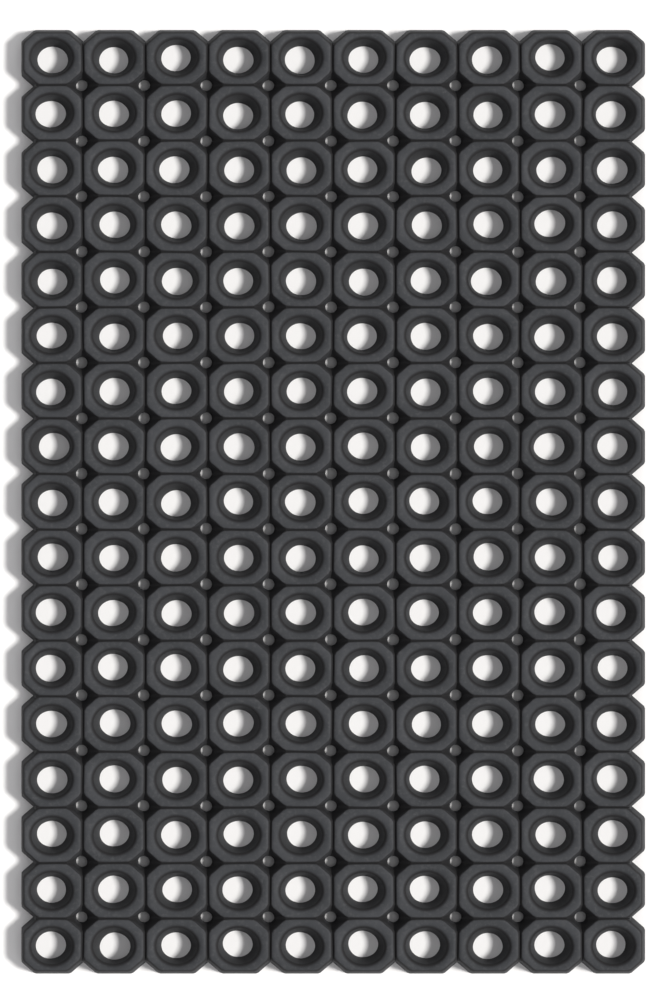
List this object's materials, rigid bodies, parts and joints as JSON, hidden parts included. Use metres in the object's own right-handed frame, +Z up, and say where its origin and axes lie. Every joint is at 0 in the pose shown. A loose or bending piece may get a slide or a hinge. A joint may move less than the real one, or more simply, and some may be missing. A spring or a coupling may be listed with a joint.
{
  "type": "rubber ring mat",
  "caption": "Flat moulded rubber entrance mat of octagonal cells, each with a large tapered through hole, with a diamond pocket and drain hole where cells meet.",
  "frame": {"origin": "bottom centre of the mat, on the floor that it lies on", "axes": "+X across the width (10 cells), +Y along the length (17 cells), +Z up from the floor"},
  "size_m": [0.4, 0.6038, 0.016],
  "materials": {
    "rubber": "matt"
  },
  "bodies": {
    "root": {"ring_mat": "rubber"}
  },
  "joints": []
}
